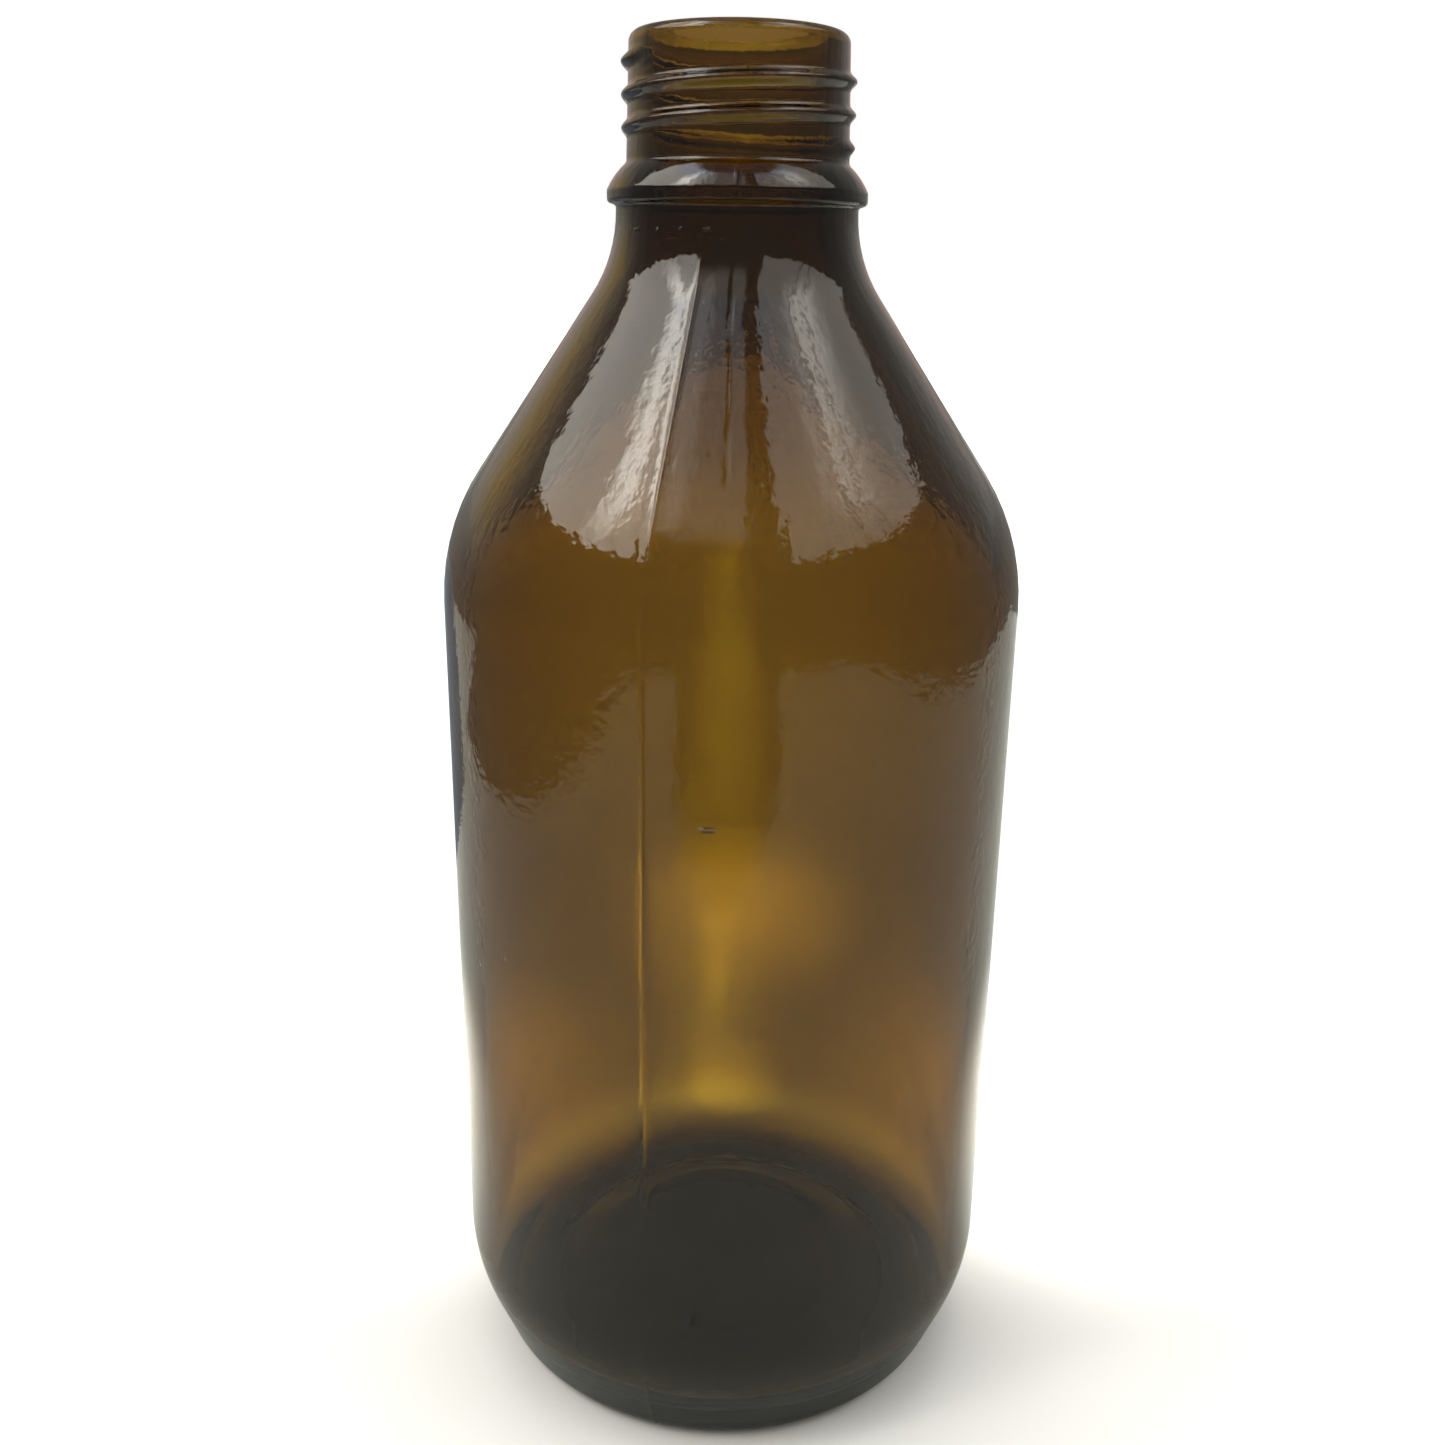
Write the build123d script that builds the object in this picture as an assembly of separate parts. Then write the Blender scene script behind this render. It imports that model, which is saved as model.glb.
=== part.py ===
from build123d import *
import os

# Amber glass soda bottle, one moulding of glass, empty and without a closure.
# Millimetres. The origin is the centre of the bearing ring, +Z runs up the axis to the mouth,
# and the front half of the bottle faces -Y.

# Heights
total_height = 172.0
shoulder_z = 114.6
neck_z = 147.2
bead_z = 153.3

# Body
body_radius = 36.6
wall_thickness = 2.7
shoulder_fillet = 28.7
neck_radius = 14.5
neck_fillet = 16.9

# Base: a flat bearing ring round a shallow push-up, under a long rounded heel
ring_inner_radius = 27.0
foot_radius = 31.6
foot_fillet = 3.4
ring_inner_fillet = 1.0
heel_z = 12.2
heel_fillet = 23.0
push_up_radius = 17.0
push_up_height = 3.0
push_up_fillet = 14.0
base_thickness = 4.6
inner_heel_fillet = 7.0

# Bore through the neck, and the inside of the shoulder
bore_radius = 10.3
inner_neck_z = 147.0
inner_shoulder_z = 113.4
inner_neck_fillet = 20.0
inner_shoulder_fillet = 26.0

# Transfer bead below the thread: a sharp underside, a narrow face and a long, slightly rounded upper slope
bead_radius = 15.55
bead_underside_drop = 0.35
bead_face_height = 1.4
bead_slope_radius = 14.65
bead_slope_z = 156.43
bead_top_z = 157.75
bead_under_fillet = 0.4
bead_lower_fillet = 0.5
bead_upper_fillet = 0.8
bead_slope_fillet = 9.0
bead_root_fillet = 0.7

# Finish: the tapered wall that carries the thread, and the rounded rim
finish_root_radius = 13.22
finish_top_radius = 12.85
rim_outer_fillet = 1.25
rim_inner_fillet = 0.8

# Right-hand thread, a single rounded ridge that fades into the wall at both ends
thread_crest_radius = 13.8
thread_depth = 1.4
thread_pitch = 3.6
thread_base_half_width = 1.25
thread_flank_half_width = 0.55
thread_flank_depth = 0.3
thread_start_angle = -400.0
thread_end_angle = 578.0
thread_fade_angle = 34.0
thread_z_at_zero = 163.25
thread_fade_sink = 1.2
thread_steps = 60


def glass_section():
    """Half-section of the glass in the XZ plane, outside first, from the push-up round to the floor."""
    inner_radius = body_radius - wall_thickness
    corners = [
        (0, push_up_height, 0),
        (push_up_radius, push_up_height, push_up_fillet),
        (ring_inner_radius, 0, ring_inner_fillet),
        (foot_radius, 0, foot_fillet),
        (body_radius, heel_z, heel_fillet),
        (body_radius, shoulder_z, shoulder_fillet),
        (neck_radius, neck_z, neck_fillet),
        (neck_radius, bead_z - bead_underside_drop, bead_under_fillet),
        (bead_radius, bead_z, bead_lower_fillet),
        (bead_radius, bead_z + bead_face_height, bead_upper_fillet),
        (bead_slope_radius, bead_slope_z, bead_slope_fillet),
        (finish_root_radius, bead_top_z, bead_root_fillet),
        (finish_top_radius, total_height, rim_outer_fillet),
        (bore_radius, total_height, rim_inner_fillet),
        (bore_radius, inner_neck_z, inner_neck_fillet),
        (inner_radius, inner_shoulder_z, inner_shoulder_fillet),
        (inner_radius, base_thickness, inner_heel_fillet),
        (push_up_radius + inner_heel_fillet, base_thickness, inner_heel_fillet),
        (push_up_radius, push_up_height + base_thickness, inner_heel_fillet),
        (0, push_up_height + base_thickness, 0),
    ]
    points = [(r, z) for r, z, fillet_radius in corners]
    radii = [fillet_radius for r, z, fillet_radius in corners]
    outline = FilletPolyline(*points, radius=radii, close=True)
    return make_face(Plane.XZ * outline)


def thread_profile(angle):
    """Cross-section of the thread ridge at one angle round the axis, in degrees from +X."""
    to_nearest_end = min(angle - thread_start_angle, thread_end_angle - angle)
    fade = max(0, 1 - to_nearest_end / thread_fade_angle)
    crest_radius = thread_crest_radius - thread_fade_sink * fade**2
    base_radius = crest_radius - thread_depth
    flank_radius = crest_radius - thread_flank_depth
    height = thread_z_at_zero + thread_pitch * angle / 360
    flanks = Polyline(
        (flank_radius, height - thread_flank_half_width),
        (base_radius, height - thread_base_half_width),
        (base_radius, height + thread_base_half_width),
        (flank_radius, height + thread_flank_half_width),
    )
    crest = ThreePointArc(flanks @ 1, (crest_radius, height), flanks @ 0)
    section = make_face(Plane.XZ * (flanks + crest))
    return Rot(0, 0, angle) * section


def thread_ridge():
    """The ridge lofted along its helix, sinking into the wall at both ends."""
    span = thread_end_angle - thread_start_angle
    angles = [thread_start_angle + span * i / thread_steps for i in range(thread_steps + 1)]
    return loft([thread_profile(angle) for angle in angles])


def glass_bottle():
    """The whole moulding: revolved glass with the thread ridge fused on."""
    body = revolve(glass_section(), axis=Axis.Z, revolution_arc=360)
    return body + thread_ridge()


os.makedirs("parts", exist_ok=True)
export_step(glass_bottle(), "parts/glass_bottle.step")
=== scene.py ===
"""Looks for the amber glass bottle: one lathe-built mesh with its thread, bead, seams and ripples."""

from math import cos, degrees, pi, radians, sin, tan

import bmesh
import bpy
import numpy as np
from mathutils import Matrix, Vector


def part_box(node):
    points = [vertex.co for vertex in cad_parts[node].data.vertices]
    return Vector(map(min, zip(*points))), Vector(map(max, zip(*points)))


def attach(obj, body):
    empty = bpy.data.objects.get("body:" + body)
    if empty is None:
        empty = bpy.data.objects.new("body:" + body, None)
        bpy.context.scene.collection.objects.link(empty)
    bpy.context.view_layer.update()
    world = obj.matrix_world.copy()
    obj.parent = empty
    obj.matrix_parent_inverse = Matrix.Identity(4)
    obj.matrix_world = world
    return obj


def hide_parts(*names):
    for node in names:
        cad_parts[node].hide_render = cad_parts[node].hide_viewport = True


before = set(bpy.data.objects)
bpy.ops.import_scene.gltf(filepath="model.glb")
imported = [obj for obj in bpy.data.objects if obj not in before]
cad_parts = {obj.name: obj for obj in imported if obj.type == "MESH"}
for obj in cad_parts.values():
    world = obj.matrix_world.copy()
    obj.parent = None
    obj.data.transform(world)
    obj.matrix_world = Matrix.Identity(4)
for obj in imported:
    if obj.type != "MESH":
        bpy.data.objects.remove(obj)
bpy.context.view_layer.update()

MM = 0.001

# Size of the bottle, taken from the frame, in millimetres
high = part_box("glass_bottle")[1]
total_height = high.z / MM
body_radius = high.x / MM

# Section of the glass, in millimetres, as it is designed
wall_thickness = 2.7
push_up_radius = 17.0
push_up_height = 3.0
push_up_fillet = 14.0
ring_inner_radius = 27.0
ring_inner_fillet = 1.0
foot_radius = 31.6
foot_fillet = 3.4
heel_z = 12.2
heel_fillet = 23.0
shoulder_z = 114.6
shoulder_fillet = 28.7
neck_z = 147.2
neck_radius = 14.5
neck_fillet = 16.9
bead_radius = 15.55
bead_under_z = 152.95
bead_under_fillet = 0.4
bead_low_z = 153.3
bead_low_fillet = 0.5
bead_high_z = 154.7
bead_high_fillet = 0.8
bead_slope_radius = 14.65
bead_slope_z = 156.43
bead_slope_fillet = 9.0
bead_top_z = 157.75
bead_top_fillet = 0.7
finish_root_radius = 13.22
finish_top_radius = 12.85
rim_fillet = 1.25
rim_middle_radius = 11.3

# The inside of the glass
bore_radius = 10.3
mouth_fillet = 0.8
inner_neck_z = 147.0
inner_neck_fillet = 20.0
inner_shoulder_z = 113.4
inner_shoulder_fillet = 26.0
base_thickness = 4.6
base_slope_width = 7.0
base_fillet = 7.0

# Thread: a right-hand ridge whose height is 0 at both ends. Angles are in degrees from +X.
thread_crest_radius = 13.8
thread_pitch = 3.6
thread_half_width = 1.2
thread_start_angle = -400.0
thread_end_angle = 578.0
thread_fade_angle = 34.0
thread_z_at_zero = 163.25
thread_sharpness = 1.15
thread_zone = (157.5, 171.5)

# Mould seams, in degrees from +X: the body's two, and the neck ring's two, with a crease below the first
body_seam_angles = (-105.0, 75.0)
body_seam_ends = (1.0, 149.0)
body_seam_height = 0.09
body_seam_half_width = 0.24
neck_seam_angles = (-91.0, 89.0)
neck_seam_ends = (152.5, 171.0)
neck_seam_height = 0.035
neck_seam_half_width = 0.12
crease_start_z = 116.0
crease_end_z = 151.0
crease_fades = (10, 3)
crease_depth = 0.09
crease_half_width = 0.45
crease_wander = ((0.25, 2.3), (0.12, 0.9))

# The mould's parting line on the neck, in dashes: its relief, and its ends, which are left of the middle
parting_z = 150.2
parting_height = 0.12
parting_half_widths = (0.04, 0.24)
parting_ends = (-12.5, -1.5)
parting_end_fades = (2.0, 1.5)
dashes_per_metre = 900
dash_range = (0.49, 0.56)

# Unevenness of the two walls: its depth, then its random seed and its ranges of waves round and lengths up.
# The drift is how much the waves up the glass shift as they go round it.
outer_ripple_depth = 0.006
outer_ripple_kind = (5, (6, 16), (9, 30))
inner_ripple_depth = 0.05
inner_ripple_kind = (11, (1, 9), (24, 80))
ripple_drift = 0.3
ripple_low_fade = 12
ripple_high_fade = 20
ripple_top_z = 150

# Unevenness too fine for the mesh, which only tilts the light: cells a metre, detail, stretch and depth
sag_waves = (110, 1, (1, 1, 0.7), 0.05)
drawn_waves = (600, 2, (1, 1, 0.13), 0.05)
skin_waves = (430, 1, (1, 1, 1), 0.03)
grain_waves = (1100, 1, (1, 1, 1), 0.03)

# The heights between which it shows. A fade is its start, its end and perhaps its two values.
sag_zone = ((35, 60), (156, 148))
skin_zone = ((45, 70), (130, 120, 0.45, 1.0))
drawn_fade = (106, 118)

# Columns of the mesh: evenly round, and extra ones at these angles from every seam.
# An even column that is closer to one of those than the gap is left out.
column_count = 252
seam_column_offsets = (-0.75, -0.42, -0.2, 0, 0.2, 0.42, 0.75)
least_column_gap = 0.5

# Small marks on the outside: degrees from +X, height, half width, half height and depth.
# A negative depth stands proud.
marks = (
    (-93.5, 87.5, 1.3, 0.42, -0.45),
    (-96.0, 74.4, 0.20, 1.7, 0.22),
    (-105.0, 119.2, 0.34, 0.45, 0.45),
    (-97.5, 117.5, 0.34, 0.34, 0.45),
    (-79.5, 113.5, 0.24, 0.24, 0.35),
    (-137.5, 65.2, 0.40, 0.40, 0.45),
    (-148.0, 61.8, 0.50, 0.40, 0.45),
    (-133.4, 155.6, 0.40, 0.50, 0.50),
    (-70.0, 61.0, 0.20, 0.8, 0.20),
    (40.0, 90.0, 0.16, 2.6, 0.20),
    (96.0, 70.0, 0.9, 0.30, -0.35),
    (160.0, 52.0, 0.35, 0.35, 0.40),
    (10.0, 118.0, 0.25, 0.25, 0.35),
)

# The glass: how it bends light, and the colour that it takes on with depth
glass_ior = 1.52
absorption_colour = (0.625, 0.517, 0.0, 1)
absorption_density = 1200

# Wear: the worn foot's heights and roughness, and cells a metre, detail, range and roughness of the dirt
foot_wear = (0.3, 1.6)
foot_roughness = 0.4
smudges = (60, 4, 0.52, 0.8, 0.06)
dust = (900, 3, 0.62, 0.72, 0.05)

# Camera: millimetres and degrees
camera_distance = 183.7
camera_height = 147.5
camera_pitch = 17.9
camera_roll = 0.88
camera_lens = 36.04
camera_shift = -0.0047

# The set, in metres: the floor, and the table that only the glass mirrors: its step, notch and dark strip
floor_size = 3.0
floor_z = -0.0004
table_z = -0.0002
table_left = -0.25
table_right = 0.375
table_front = -0.42
table_far = 0.42
table_step_y = 0.17
table_wide_left = -0.42
notch_x = -0.005
notch_half_width = 0.13
notch_depth = 0.208
strip_z = -0.0001
strip = ((-0.06, 0.15), (-0.17, 0.7), (-0.6, 0.7), (-0.2, 0.15))
backdrop_radius = 6.0

# Lamps for the floor, in metres: name, place, width, length, radiance, spread in degrees and colour
daylight = (1.0, 0.98, 0.92)
lamps = (
    ("overhead", (0, 0.5, 1.6), 1.4, 1.4, 2.5, 180, daylight),
    ("far", (0, 2.2, 0.9), 2.4, 1.0, 3.0, 180, daylight),
    ("far_left", (-0.28, 1.0, 0.3), 0.25, 0.6, 3.0, 180, daylight),
    ("far_right", (0.28, 1.0, 0.3), 0.25, 0.6, 1.5, 180, daylight),
    ("streak", (-0.002, 0.45, 0.3), 0.006, 0.8, 19.0, 5, (0.78, 1.0, 0.6)),
    ("pool", (0.004, 0.135, 0.08), 0.014, 0.05, 9.0, 50, daylight),
    ("pool_low", (0.0, 0.057, 0.05), 0.008, 0.015, 6.0, 28, (0.93, 1.0, 0.75)),
    ("streak_near", (-0.002, 0.09, 0.12), 0.004, 0.08, 4.0, 6, (0.85, 1.0, 0.65)),
    ("pool_left", (-0.22, 0.3, 0.16), 0.14, 0.3, 0.8, 180, daylight),
    ("near_side", (-0.06, 0.05, 0.09), 0.03, 0.05, 8.0, 50, daylight),
    ("near_side", (0.06, 0.05, 0.09), 0.03, 0.05, 8.0, 50, daylight),
)


def arc_points(before, corner, after, fillet_radius, step):
    """Points along the fillet that rounds one corner."""
    towards_before = (before - corner) / np.linalg.norm(before - corner)
    towards_after = (after - corner) / np.linalg.norm(after - corner)
    half_angle = np.arccos(np.clip(towards_before @ towards_after, -1, 1)) / 2
    start = corner + towards_before * fillet_radius / tan(half_angle)
    end = corner + towards_after * fillet_radius / tan(half_angle)
    middle = towards_before + towards_after
    centre = corner + middle / np.linalg.norm(middle) * fillet_radius / sin(half_angle)
    turn = pi - 2 * half_angle
    count = max(3, int(np.ceil(fillet_radius * turn / step)))
    side = np.sign(np.cross(start - centre, end - centre))
    angles = side * turn * np.linspace(0, 1, count + 1)
    arm = start - centre
    return np.column_stack([
        centre[0] + arm[0] * np.cos(angles) - arm[1] * np.sin(angles),
        centre[1] + arm[0] * np.sin(angles) + arm[1] * np.cos(angles),
    ])


def outline(corners):
    """Dense (radius, z) points through corners, given as (radius, z, fillet radius, step before it)."""
    places = [np.array(corner[:2], float) for corner in corners]
    points = [places[0]]
    for i, (radius, z, fillet_radius, step) in enumerate(corners[1:], 1):
        if fillet_radius:
            finest = min(step, fillet_radius / 4)
            turn = arc_points(places[i - 1], places[i], places[i + 1], fillet_radius, finest)
        else:
            turn = places[i][None]
        count = max(1, round(np.linalg.norm(turn[0] - points[-1]) / step))
        start = points[-1]
        points += [start + (turn[0] - start) * k / count for k in range(1, count)]
        points += list(turn)
    return np.array(points)


def outer_outline():
    return outline([
        (0.0, push_up_height, 0, 2.0),
        (push_up_radius, push_up_height, push_up_fillet, 2.0),
        (ring_inner_radius, 0.0, ring_inner_fillet, 1.2),
        (foot_radius, 0.0, foot_fillet, 0.6),
        (body_radius, heel_z, heel_fillet, 0.8),
        (body_radius, shoulder_z, shoulder_fillet, 2.6),
        (neck_radius, neck_z, neck_fillet, 1.3),
        (neck_radius, bead_under_z, bead_under_fillet, 0.3),
        (bead_radius, bead_low_z, bead_low_fillet, 0.2),
        (bead_radius, bead_high_z, bead_high_fillet, 0.15),
        (bead_slope_radius, bead_slope_z, bead_slope_fillet, 0.3),
        (finish_root_radius, bead_top_z, bead_top_fillet, 0.3),
        (finish_top_radius, total_height, rim_fillet, 0.2),
        (rim_middle_radius, total_height, 0, 0.25),
    ])


def inner_outline():
    inner_radius = body_radius - wall_thickness
    base_z = push_up_height + base_thickness
    return outline([
        (rim_middle_radius, total_height, 0, 0.25),
        (bore_radius, total_height, mouth_fillet, 0.25),
        (bore_radius, inner_neck_z, inner_neck_fillet, 1.6),
        (inner_radius, inner_shoulder_z, inner_shoulder_fillet, 1.8),
        (inner_radius, base_thickness, base_fillet, 3.2),
        (push_up_radius + base_slope_width, base_thickness, base_fillet, 1.5),
        (push_up_radius, base_z, base_fillet, 1.5),
        (0.0, base_z, 0, 2.0),
    ])


def column_angles():
    """Azimuths of the mesh's columns: evenly round, and closer together across each seam."""
    even = np.arange(0, 360, 360 / column_count)
    fine = [seam + offset for seam in body_seam_angles + neck_seam_angles for offset in seam_column_offsets]
    clear = [a for a in even if all(abs((a - f + 180) % 360 - 180) > least_column_gap for f in fine)]
    return np.sort(np.concatenate([clear, np.mod(fine, 360)]))


def ripple(angle, z, seed, waves, rise):
    """Smooth unevenness round and up the glass: a sum of sines, with a slight step where they start."""
    random = np.random.default_rng(seed)
    total = np.zeros(np.broadcast(angle, z).shape)
    for n in range(waves[0], waves[1]):
        length = random.uniform(*rise)
        phase = random.uniform(0, 2 * pi, 2)
        up = 2 * pi * z / length + phase[1] + ripple_drift * n * angle
        total += np.sin(n * angle + phase[0]) * np.sin(up) / n
    return total


def gap(angle, other):
    """Signed angle between two azimuths, in radians, wrapped to half a turn."""
    return (angle - radians(other) + pi) % (2 * pi) - pi


def ridge(across, half_width):
    """1 along the middle of a seam, falling smoothly to 0 on both sides."""
    return np.exp(-(across / half_width) ** 2)


def seam_height(angle, radius, z):
    """Raised mould seams: two along the body, two over the finish, and the wavy crease on the shoulder."""
    total = np.zeros(np.broadcast(angle, radius).shape)
    on_body = (z > body_seam_ends[0]) & (z < body_seam_ends[1])
    for seam in body_seam_angles:
        total += body_seam_height * ridge(gap(angle, seam) * radius, body_seam_half_width) * on_body
    on_finish = (z > neck_seam_ends[0]) & (z < neck_seam_ends[1])
    for seam in neck_seam_angles:
        total += neck_seam_height * ridge(gap(angle, seam) * radius, neck_seam_half_width) * on_finish
    wander = sum(size * np.sin(z / length) for size, length in crease_wander)
    across = gap(angle, neck_seam_angles[0]) * radius - wander
    below = np.clip((z - crease_start_z) / crease_fades[0], 0, 1)
    above = np.clip((crease_end_z - z) / crease_fades[1], 0, 1)
    return total - crease_depth * ridge(across, crease_half_width) * (below * above)


def thread_height(angle, wall_radius, z):
    """How far the thread ridge stands out of the finish wall."""
    total = np.zeros(np.broadcast(angle, z).shape)
    for turn in range(-2, 2):
        along = np.degrees(angle) + 360 * turn
        crest_z = thread_z_at_zero + thread_pitch * along / 360
        to_end = np.minimum(along - thread_start_angle, thread_end_angle - along)
        fade = np.clip(to_end / thread_fade_angle, 0, 1)
        fade = fade * fade * (3 - 2 * fade)
        across = np.clip((z - crest_z) / thread_half_width, -1, 1)
        shape = (0.5 + 0.5 * np.cos(pi * across)) ** thread_sharpness
        total = np.maximum(total, fade * shape * (thread_crest_radius - wall_radius))
    return total


def bulge_of_glass(angle, radius, z, is_inside):
    """How far each point of the mesh stands out of its smooth section: thread, seams and unevenness."""
    on_finish = ~is_inside & (z > thread_zone[0]) & (z < thread_zone[1])
    above_foot = np.clip(z / ripple_low_fade, 0, 1)
    below_neck = np.clip((ripple_top_z - z) / ripple_high_fade, 0, 1)
    between_ends = above_foot * below_neck
    outer_ripple = outer_ripple_depth * (1 + ripple(angle, z, *outer_ripple_kind))
    inner_ripple = inner_ripple_depth * ripple(angle, z, *inner_ripple_kind)
    outside = seam_height(angle, radius, z) - outer_ripple * between_ends
    bulge = np.where(on_finish, thread_height(angle, radius, z), 0)
    return bulge + np.where(is_inside, inner_ripple * between_ends, outside)


def glass_mesh():
    """One closed surface: outside from the push-up to the rim, then inside down to the floor."""
    outside = outer_outline()
    inside = inner_outline()[1:]
    angles = np.radians(column_angles())
    rings = np.vstack([outside[1:], inside[:-1]])
    is_inside = np.arange(len(rings)) >= len(outside) - 1

    angle = angles[None, :]
    radius = np.repeat(rings[:, :1], len(angles), axis=1)
    z = np.repeat(rings[:, 1:], len(angles), axis=1)
    slope = np.gradient(rings, axis=0)
    length = np.hypot(slope[:, 0], slope[:, 1])
    out_r = (slope[:, 1] / length)[:, None]
    out_z = (-slope[:, 0] / length)[:, None]
    bulge = bulge_of_glass(angle, radius, z, is_inside[:, None])
    x = (radius + bulge * out_r) * np.cos(angle)
    y = (radius + bulge * out_r) * np.sin(angle)
    verts = np.stack([x, y, z + bulge * out_z], axis=-1).reshape(-1, 3)

    rows, columns = radius.shape
    index = np.arange(rows * columns).reshape(rows, columns)
    ahead = np.roll(index, -1, axis=1)
    quads = np.stack([index[:-1], ahead[:-1], ahead[1:], index[1:]], axis=-1).reshape(-1, 4)
    bottom = len(verts)
    top = bottom + 1
    verts = np.vstack([verts, [0, 0, outside[0, 1]], [0, 0, inside[-1, 1]]])
    faces = [tuple(int(v) for v in quad) for quad in quads]
    faces += [(bottom, int(b), int(a)) for a, b in zip(index[0], ahead[0])]
    faces += [(top, int(a), int(b)) for a, b in zip(index[-1], ahead[-1])]

    mesh = bpy.data.meshes.new("glass_bottle_skin")
    mesh.from_pydata([tuple(v) for v in verts * MM], [], faces)
    mesh.shade_smooth()
    within = np.concatenate([np.repeat(is_inside, columns), [False, True]]).astype(np.float32)
    mesh.attributes.new("inner_wall", "FLOAT", "POINT").data.foreach_set("value", within)
    mesh.validate()
    mesh.update()
    return mesh


def calculate(tree, operation, *values):
    """A Math node on sockets or plain numbers."""
    node = tree.nodes.new("ShaderNodeMath")
    node.operation = operation
    for socket, value in zip(node.inputs, values):
        if isinstance(value, (int, float)):
            socket.default_value = value
        else:
            tree.links.new(value, socket)
    return node.outputs[0]


def smooth_step(tree, value, start, end, low=0.0, high=1.0):
    """Goes smoothly from low to high while the value goes from start to end."""
    node = tree.nodes.new("ShaderNodeMapRange")
    node.interpolation_type = "SMOOTHSTEP"
    for name, number in zip(("From Min", "From Max", "To Min", "To Max"), (start, end, low, high)):
        node.inputs[name].default_value = number
    tree.links.new(value, node.inputs["Value"])
    return node.outputs["Result"]


def noise(tree, place, scale, detail, stretch=(1, 1, 1)):
    """A noise with this many cells a metre, drawn out along an axis whose stretch is below 1."""
    mapping = tree.nodes.new("ShaderNodeMapping")
    mapping.inputs["Scale"].default_value = stretch
    texture = tree.nodes.new("ShaderNodeTexNoise")
    texture.inputs["Scale"].default_value = scale
    texture.inputs["Detail"].default_value = detail
    tree.links.new(place, mapping.inputs["Vector"])
    tree.links.new(mapping.outputs["Vector"], texture.inputs["Vector"])
    return texture.outputs["Fac"]


def bump(tree, height, distance, strength, previous=None):
    """Tilts the surface as a height map would, where 1 in the map stands this distance above 0."""
    node = tree.nodes.new("ShaderNodeBump")
    node.inputs["Distance"].default_value = distance
    tree.links.new(strength, node.inputs["Strength"])
    tree.links.new(height, node.inputs["Height"])
    if previous:
        tree.links.new(previous, node.inputs["Normal"])
    return node.outputs["Normal"]


def wave_bump(tree, place, waves, strength, previous=None):
    """Tilts the surface by one kind of fine unevenness."""
    scale, detail, stretch, depth = waves
    return bump(tree, noise(tree, place, scale, detail, stretch), depth * MM, strength, previous)


def mark(tree, place, azimuth, z, half_width, half_height, depth):
    """Height of one small pit, scratch or blister, 0 away from it."""
    shoulder_start_z = 110
    shoulder_slope = 0.12
    flat_middle = 0.2
    narrowing = max(0, z - shoulder_start_z) * shoulder_slope
    radius = bead_radius if z > neck_z else body_radius - narrowing
    offset = tree.nodes.new("ShaderNodeVectorMath")
    offset.operation = "SUBTRACT"
    offset.inputs[1].default_value = (
        radius * MM * cos(radians(azimuth)), radius * MM * sin(radians(azimuth)), z * MM
    )
    tree.links.new(place, offset.inputs[0])
    scaled = tree.nodes.new("ShaderNodeVectorMath")
    scaled.operation = "MULTIPLY"
    sideways = 1 / (half_width * MM)
    scaled.inputs[1].default_value = (sideways, sideways, 1 / (half_height * MM))
    tree.links.new(offset.outputs["Vector"], scaled.inputs[0])
    length = tree.nodes.new("ShaderNodeVectorMath")
    length.operation = "LENGTH"
    tree.links.new(scaled.outputs["Vector"], length.inputs[0])
    return smooth_step(tree, length.outputs["Value"], flat_middle, 1.0, -depth, 0)


def parting_dashes(tree, place, across, height):
    """Height of the broken parting line, on the left half of the neck."""
    to_parting = calculate(tree, "ABSOLUTE", calculate(tree, "SUBTRACT", height, parting_z * MM))
    core, edge = parting_half_widths
    left, right = parting_ends
    left_fade, right_fade = parting_end_fades
    line = smooth_step(tree, to_parting, core * MM, edge * MM, parting_height, 0)
    dashes = smooth_step(tree, noise(tree, place, dashes_per_metre, 1, (1, 1, 0.02)), *dash_range)
    left_end = smooth_step(tree, across, left * MM, (left + left_fade) * MM)
    right_end = smooth_step(tree, across, right * MM, (right - right_fade) * MM)
    between = calculate(tree, "MULTIPLY", left_end, right_end)
    broken = calculate(tree, "MULTIPLY", dashes, between)
    return calculate(tree, "MULTIPLY", line, broken)


def glass_relief(tree, place):
    """The normal of the moulded glass, from its widest waves, which both walls have, to its marks."""
    inner = tree.nodes.new("ShaderNodeAttribute")
    inner.attribute_name = "inner_wall"
    outer = calculate(tree, "SUBTRACT", 1, inner.outputs["Fac"])
    split = tree.nodes.new("ShaderNodeSeparateXYZ")
    tree.links.new(place, split.inputs[0])
    across = split.outputs["X"]
    height = split.outputs["Z"]

    def between(low_fade, high_fade):
        """1 between two heights, with a fade at each end, which goes to 0 unless it says otherwise."""
        below = smooth_step(tree, height, low_fade[0] * MM, low_fade[1] * MM)
        above = smooth_step(tree, height, high_fade[0] * MM, high_fade[1] * MM, *high_fade[2:])
        return calculate(tree, "MULTIPLY", below, above)

    above_body = smooth_step(tree, height, drawn_fade[0] * MM, drawn_fade[1] * MM)
    on_shoulder = calculate(tree, "MULTIPLY", above_body, outer)
    on_body = calculate(tree, "MULTIPLY", outer, between(*skin_zone))
    normal = wave_bump(tree, place, sag_waves, between(*sag_zone))
    normal = wave_bump(tree, place, drawn_waves, on_shoulder, normal)
    normal = wave_bump(tree, place, skin_waves, on_body, normal)
    normal = wave_bump(tree, place, grain_waves, on_body, normal)
    relief = parting_dashes(tree, place, across, height)
    for each in marks:
        relief = calculate(tree, "ADD", relief, mark(tree, place, *each))
    return bump(tree, relief, MM, outer, normal)


def patches(tree, place, cells, detail, start, end, roughness):
    """Roughness where a noise is strong: none of it below start and all of it above end."""
    return smooth_step(tree, noise(tree, place, cells, detail), start, end, 0, roughness)


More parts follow.
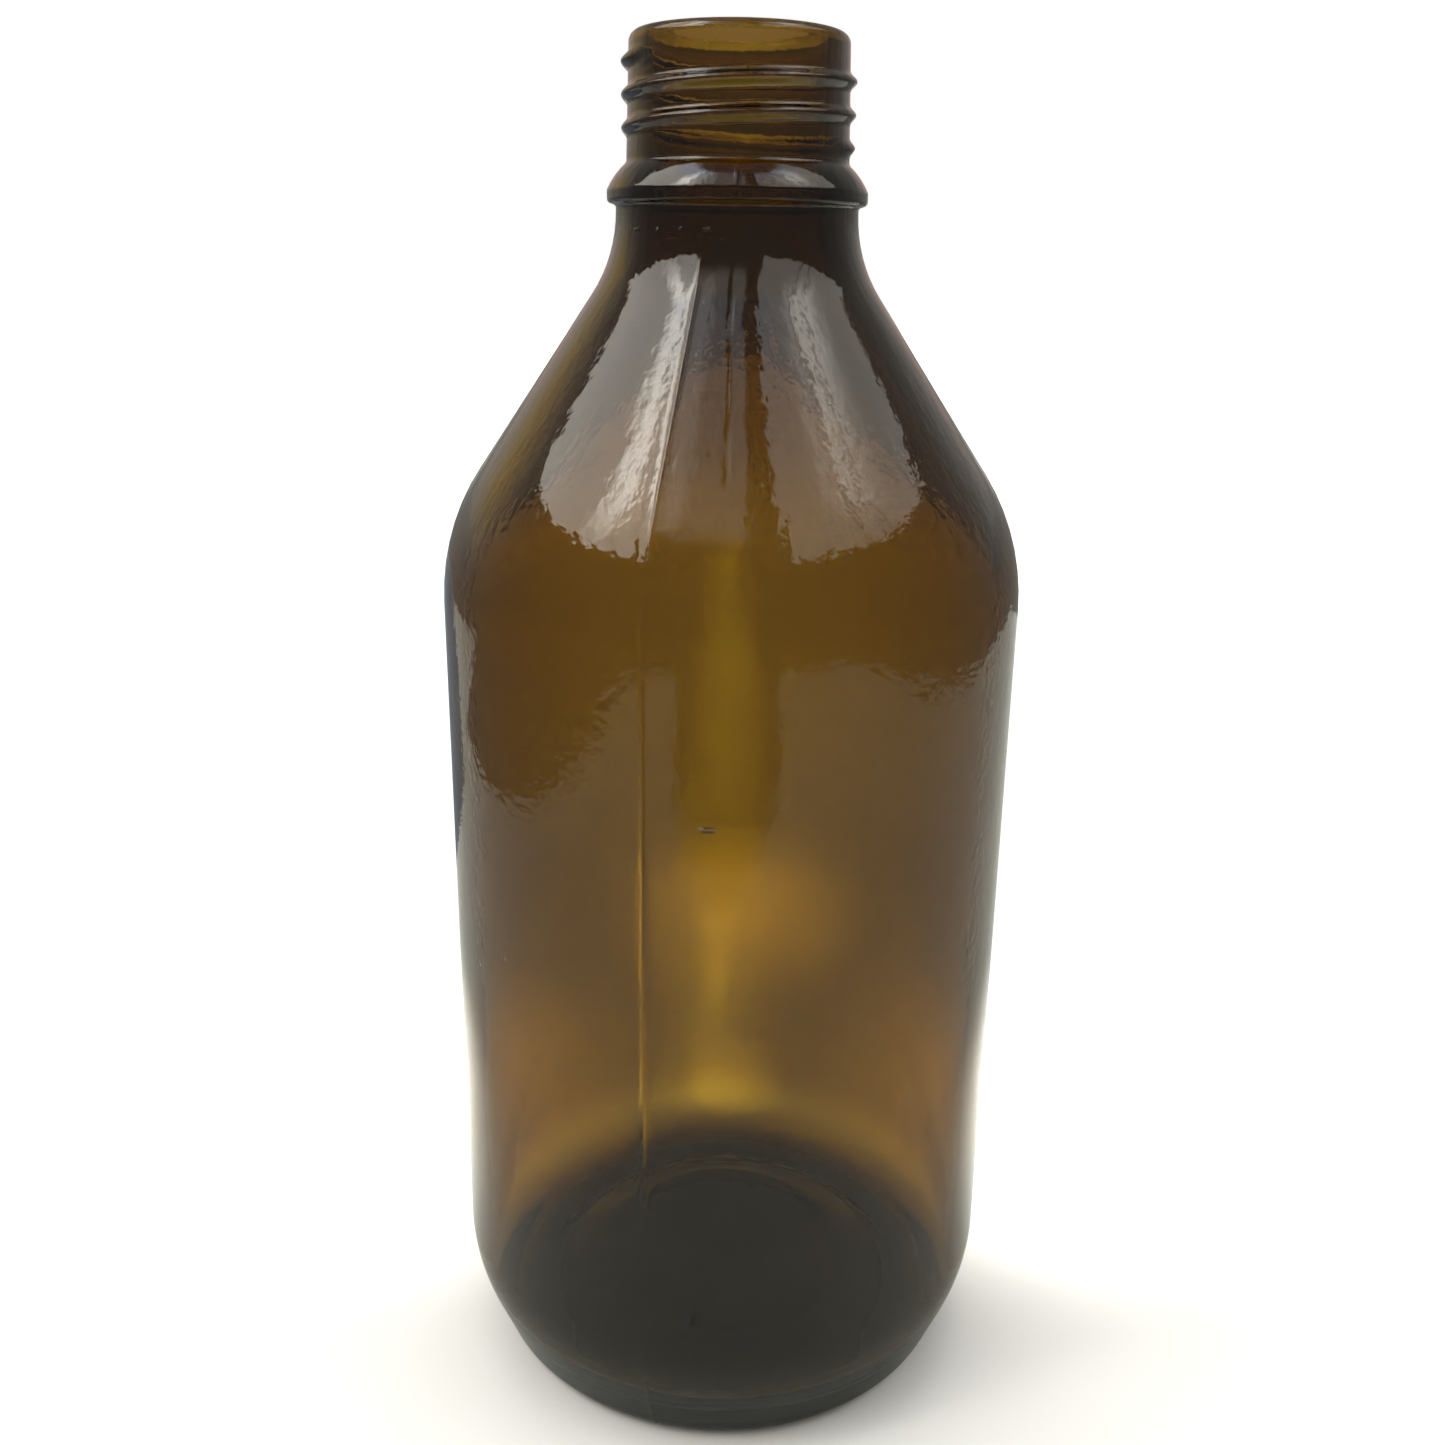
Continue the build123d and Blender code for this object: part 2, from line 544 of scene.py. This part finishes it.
def glass_wear(tree, place):
    """The roughness of the glass: a worn foot, faint smudges and dust."""
    split = tree.nodes.new("ShaderNodeSeparateXYZ")
    tree.links.new(place, split.inputs[0])
    low, high = foot_wear
    worn_foot = smooth_step(tree, split.outputs["Z"], low * MM, high * MM, foot_roughness, 0)
    dirt = calculate(tree, "ADD", patches(tree, place, *smudges), patches(tree, place, *dust))
    return calculate(tree, "ADD", dirt, worn_foot)


def amber_glass():
    """Amber soda-lime glass: colour from its depth, gloss broken by wear, and moulded unevenness."""
    material = bpy.data.materials.new("amber_glass")
    material.use_nodes = True
    tree = material.node_tree
    shader = tree.nodes["Principled BSDF"]
    shader.inputs["Base Color"].default_value = (1, 1, 1, 1)
    shader.inputs["Transmission Weight"].default_value = 1
    shader.inputs["IOR"].default_value = glass_ior

    absorption = tree.nodes.new("ShaderNodeVolumeAbsorption")
    absorption.inputs["Color"].default_value = absorption_colour
    absorption.inputs["Density"].default_value = absorption_density
    tree.links.new(absorption.outputs["Volume"], tree.nodes["Material Output"].inputs["Volume"])

    place = tree.nodes.new("ShaderNodeTexCoord").outputs["Object"]
    tree.links.new(glass_relief(tree, place), shader.inputs["Normal"])
    tree.links.new(glass_wear(tree, place), shader.inputs["Roughness"])
    return material


def make_bottle():
    bottle = bpy.data.objects.new("bottle_glass", glass_mesh())
    bpy.context.scene.collection.objects.link(bottle)
    bottle.data.materials.append(amber_glass())
    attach(bottle, "root")
    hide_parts("glass_bottle")


def stage_object(name, mesh, shader_values):
    """A thing of the set, which isn't part of the bottle and casts no shadow."""
    piece = bpy.data.objects.new(name, mesh)
    bpy.context.scene.collection.objects.link(piece)
    material = bpy.data.materials.new(name)
    material.use_nodes = True
    shader = material.node_tree.nodes["Principled BSDF"]
    for socket, value in shader_values.items():
        shader.inputs[socket].default_value = value
    mesh.materials.append(material)
    piece.visible_shadow = False
    return piece


def stage_sheet(name, outline_points, z, colour):
    """A level sheet of one polygon."""
    mesh = bpy.data.meshes.new(name)
    mesh.from_pydata([(x, y, z) for x, y in outline_points], [], [tuple(range(len(outline_points)))])
    return stage_object(name, mesh, {"Base Color": colour, "Roughness": 0.8})


def make_floor():
    """A white floor, and the greyer table that the glass mirrors, which ends in front and on both sides."""
    corners = [(x * floor_size, y * floor_size) for x, y in ((-1, -1), (1, -1), (1, 1), (-1, 1))]
    stage_sheet("floor", corners, floor_z, (0.86, 0.85, 0.84, 1)).visible_glossy = False

    rim = [
        (table_left, table_front),
        (table_left, table_step_y),
        (table_wide_left, table_step_y),
        (table_wide_left, table_far),
        (table_right, table_far),
        (table_right, table_front),
    ]
    for turn in range(0, 181, 10):
        along = notch_half_width * cos(radians(turn))
        into = notch_depth * sin(radians(turn))
        rim.append((notch_x + along, table_front + into))
    table = stage_sheet("table", rim, table_z, (0.42, 0.43, 0.40, 1))
    shade = stage_sheet("table_shade", strip, strip_z, (0.10, 0.12, 0.15, 1))
    for mirrored in (table, shade):
        mirrored.visible_camera = False
        mirrored.visible_transmission = False
        mirrored.visible_diffuse = False


def make_backdrop():
    """The white surround that only the camera sees."""
    mesh = bpy.data.meshes.new("backdrop")
    shell = bmesh.new()
    bmesh.ops.create_uvsphere(shell, u_segments=48, v_segments=24, radius=backdrop_radius)
    shell.to_mesh(mesh)
    shell.free()
    white_light = {"Base Color": (0, 0, 0, 1), "Emission Color": (1, 1, 1, 1), "Emission Strength": 1.0}
    backdrop = stage_object("backdrop", mesh, white_light)
    backdrop.visible_glossy = False
    backdrop.visible_transmission = False
    backdrop.visible_diffuse = False


def make_world():
    """Soft daylight: a window high on each side, a pale ceiling between them and dim walls.

    Azimuths are in degrees from straight in front of the bottle, positive to the right, and elevations in
    degrees above the horizon.
    """
    world = bpy.data.worlds.new("studio")
    bpy.context.scene.world = world
    world.use_nodes = True
    nodes = world.node_tree.nodes
    links = world.node_tree.links

    def math(operation, *values):
        return calculate(world.node_tree, operation, *values)

    def rise(value, start, end):
        return smooth_step(world.node_tree, value, start, end)

    def fall(value, start, end):
        return smooth_step(world.node_tree, value, start, end, 1.0, 0.0)

    def product(*values):
        total = values[0]
        for value in values[1:]:
            total = math("MULTIPLY", total, value)
        return total

    def total_of(*values):
        total = values[0]
        for value in values[1:]:
            total = math("ADD", total, value)
        return total

    def pane(azimuths, elevations):
        """1 within a patch of the room. Each four are the start and end of its rise, then of its fall."""
        return product(
            rise(azimuth, *azimuths[:2]), fall(azimuth, *azimuths[2:]),
            rise(elevation, *elevations[:2]), fall(elevation, *elevations[2:]),
        )

    def glow(at, spread):
        """A soft round patch of light, 1 at its middle. Each pair is an azimuth and an elevation."""
        across = math("DIVIDE", math("SUBTRACT", azimuth, at[0]), spread[0])
        up = math("DIVIDE", math("SUBTRACT", elevation, at[1]), spread[1])
        square = math("ADD", product(across, across), product(up, up))
        return math("EXPONENT", product(square, -1))

    def bar(at, spread, loss):
        """Takes some light away along one upright line of a window."""
        across = math("DIVIDE", math("SUBTRACT", azimuth, at), spread)
        return math("SUBTRACT", 1, product(loss, math("EXPONENT", product(across, across, -1))))

    def blend(factor, first, second):
        """The first colour where the factor is 0 and the second where it is 1."""
        node = nodes.new("ShaderNodeMix")
        node.data_type = "RGBA"
        links.new(factor, node.inputs[0])
        if isinstance(first, tuple):
            node.inputs[6].default_value = first
        else:
            links.new(first, node.inputs[6])
        node.inputs[7].default_value = second
        return node.outputs[2]

    direction = nodes.new("ShaderNodeSeparateXYZ")
    links.new(nodes.new("ShaderNodeTexCoord").outputs["Generated"], direction.inputs[0])
    x, y, z = direction.outputs
    azimuth = product(math("ARCTAN2", x, product(y, -1)), degrees(1))
    elevation = product(math("ARCSINE", z), degrees(1))

    left_light = total_of(3.3, product(8.0, glow(at=(-64, 53), spread=(8, 14))))
    left_bars = product(bar(at=-56, spread=1.6, loss=0.3), bar(at=-76, spread=1.6, loss=0.2))
    left_window = product(left_light, left_bars, pane((-115, -111, -43, -42), (30, 31, 66, 74)))
    curtain = product(0.8, pane((-43, -42, -34, -24), (42, 46, 66, 74)))
    right_light = total_of(1.4, product(4.0, glow(at=(75, 56), spread=(14, 11))))
    right_bars = product(bar(at=64, spread=1.8, loss=0.5), bar(at=75, spread=1.6, loss=0.5))
    right_window = product(right_light, right_bars, pane((26, 27, 110, 114), (32, 33, 66, 74)))
    ceiling = product(0.85, pane((-43, -42, 5, 12), (38, 52, 66, 76)))

    far_wall = product(0.12, rise(y, -0.2, 0.9), rise(elevation, -8, 5))
    far_glow = product(0.12, rise(y, 0.4, 0.9), rise(elevation, 3, 5), fall(elevation, 18, 24))
    far_edge = product(0.35, rise(y, 0.9, 0.97), rise(elevation, -5, -3), fall(elevation, -1, 0))
    lit_wall = glow(at=(-131, 18), spread=(20, 14))
    walls = total_of(0.22, far_wall, far_glow, far_edge, product(0.6, lit_wall))
    rosy_part = product(rise(y, 0.8, 0.95), rise(elevation, 3, 5), fall(elevation, 20, 26))

    cream = (1.0, 0.97, 0.88, 1)
    sky_blue = (0.78, 0.88, 1.0, 1)
    amber = (1.0, 0.72, 0.33, 1)
    rosy = (1.32, 0.97, 0.86, 1)
    tint = blend(rise(elevation, 54, 68), cream, sky_blue)
    tint = blend(lit_wall, tint, amber)
    tint = blend(rosy_part, tint, rosy)
    background = nodes["Background"]
    links.new(tint, background.inputs["Color"])
    links.new(total_of(left_window, curtain, right_window, ceiling, walls), background.inputs["Strength"])


def make_lamp(name, place, width, length, radiance, spread, colour):
    """A rectangular light that faces down at the floor. The glass doesn't show it."""
    light = bpy.data.lights.new(name, "AREA")
    light.shape = "RECTANGLE"
    light.size = width
    light.size_y = length
    light.spread = radians(spread)
    light.energy = radiance * pi * width * length
    light.color = colour
    lamp = bpy.data.objects.new(name, light)
    bpy.context.scene.collection.objects.link(lamp)
    lamp.location = place
    lamp.visible_camera = False
    lamp.visible_glossy = False
    lamp.visible_transmission = False


def make_camera():
    camera = bpy.data.objects.new("camera", bpy.data.cameras.new("camera"))
    bpy.context.scene.collection.objects.link(camera)
    camera.data.lens = camera_lens
    camera.data.sensor_width = 36
    camera.data.shift_x = camera_shift
    camera.data.clip_start = 0.01
    place = Matrix.Translation((0, -camera_distance * MM, camera_height * MM))
    pitch = Matrix.Rotation(radians(90 - camera_pitch), 4, "X")
    roll = Matrix.Rotation(radians(camera_roll), 4, "Z")
    camera.matrix_world = place @ pitch @ roll
    bpy.context.scene.camera = camera
    bpy.context.scene.view_settings.view_transform = "Standard"


make_bottle()
make_floor()
make_backdrop()
make_world()
for lamp_row in lamps:
    make_lamp(*lamp_row)
make_camera()
